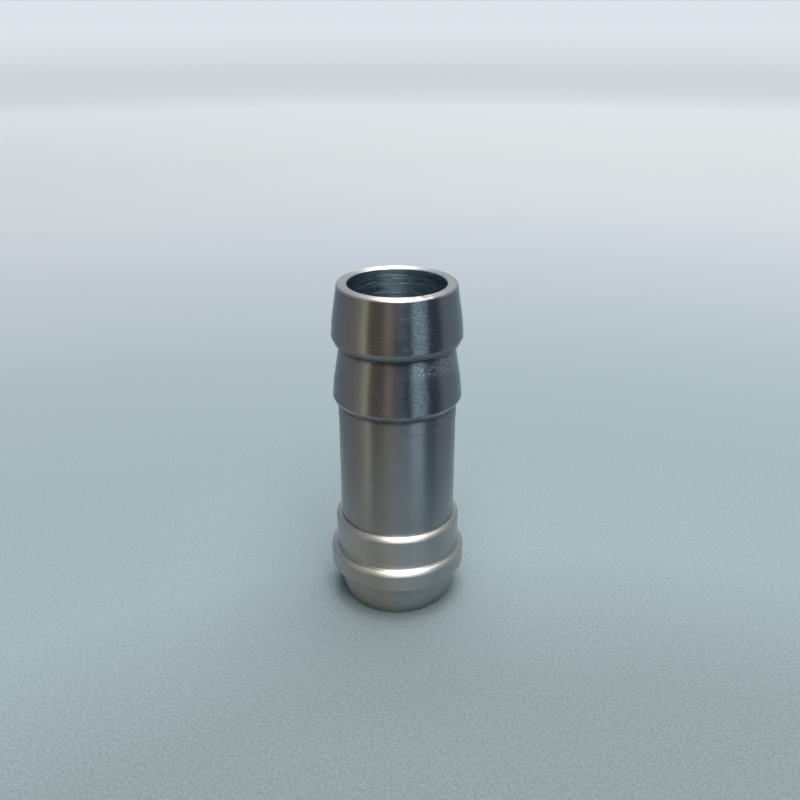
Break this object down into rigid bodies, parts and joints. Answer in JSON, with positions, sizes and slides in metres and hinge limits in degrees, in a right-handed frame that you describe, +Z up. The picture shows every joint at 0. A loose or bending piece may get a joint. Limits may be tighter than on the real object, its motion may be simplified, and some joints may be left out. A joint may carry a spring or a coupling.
{
  "type": "in-line gas diffuser",
  "caption": "Turned steel in-line gas diffuser: barbed hose tail, collar, flange and nose, with a check valve and a porous disc inside.",
  "frame": {"origin": "centre of the nose's bottom face, which the part stands on", "axes": "+Z up along the turned axis, from the nose to the hose end; +X and +Y are free, as the outside is round"},
  "size_m": [0.019, 0.019, 0.0466],
  "materials": {
    "turned_steel": "fine turned, satin",
    "sintered_steel": "sintered, matt",
    "valve_brass": "turned",
    "spring_steel": "bright drawn",
    "screen_steel": "punched",
    "guide_plastic": "turned acetal",
    "seal_rubber": "moulded"
  },
  "bodies": {
    "base": {"end_cap": "turned_steel", "outlet_gasket": "seal_rubber", "diffuser_disc": "sintered_steel", "disc_gasket": "seal_rubber"},
    "cartridge": {"valve_barrel": "valve_brass", "barrel_o_ring": "seal_rubber", "spring_guide": "guide_plastic", "retaining_ring": "spring_steel", "valve_spring": "spring_steel", "valve_seat": "valve_brass", "seat_o_ring": "seal_rubber", "inlet_screen": "screen_steel", "screen_clamp_ring": "valve_brass"},
    "stem": {"barbed_stem": "turned_steel"},
    "poppet": {"valve_poppet": "guide_plastic", "poppet_seal": "seal_rubber"}
  },
  "joints": [
    {"name": "stem_lift", "type": "slide", "parent": "base", "child": "cartridge", "axis": [0, 0, 1], "range_m": [0, 0.008]},
    {"name": "stem_turn", "type": "hinge", "parent": "cartridge", "child": "stem", "pos_m": [0, 0, 0], "axis": [0, 0, 1], "range_deg": [0, 2880]},
    {"name": "poppet_drop", "type": "slide", "parent": "cartridge", "child": "poppet", "axis": [0, 0, -1], "range_m": [0, 0.0012], "stiffness_N_per_m": 300, "springref_m": -0.0005, "deforming": ["valve_spring"]}
  ],
  "couplings": [
    {"joint": "stem_turn", "follows": "stem_lift", "rad_per_m": 6283.2}
  ]
}
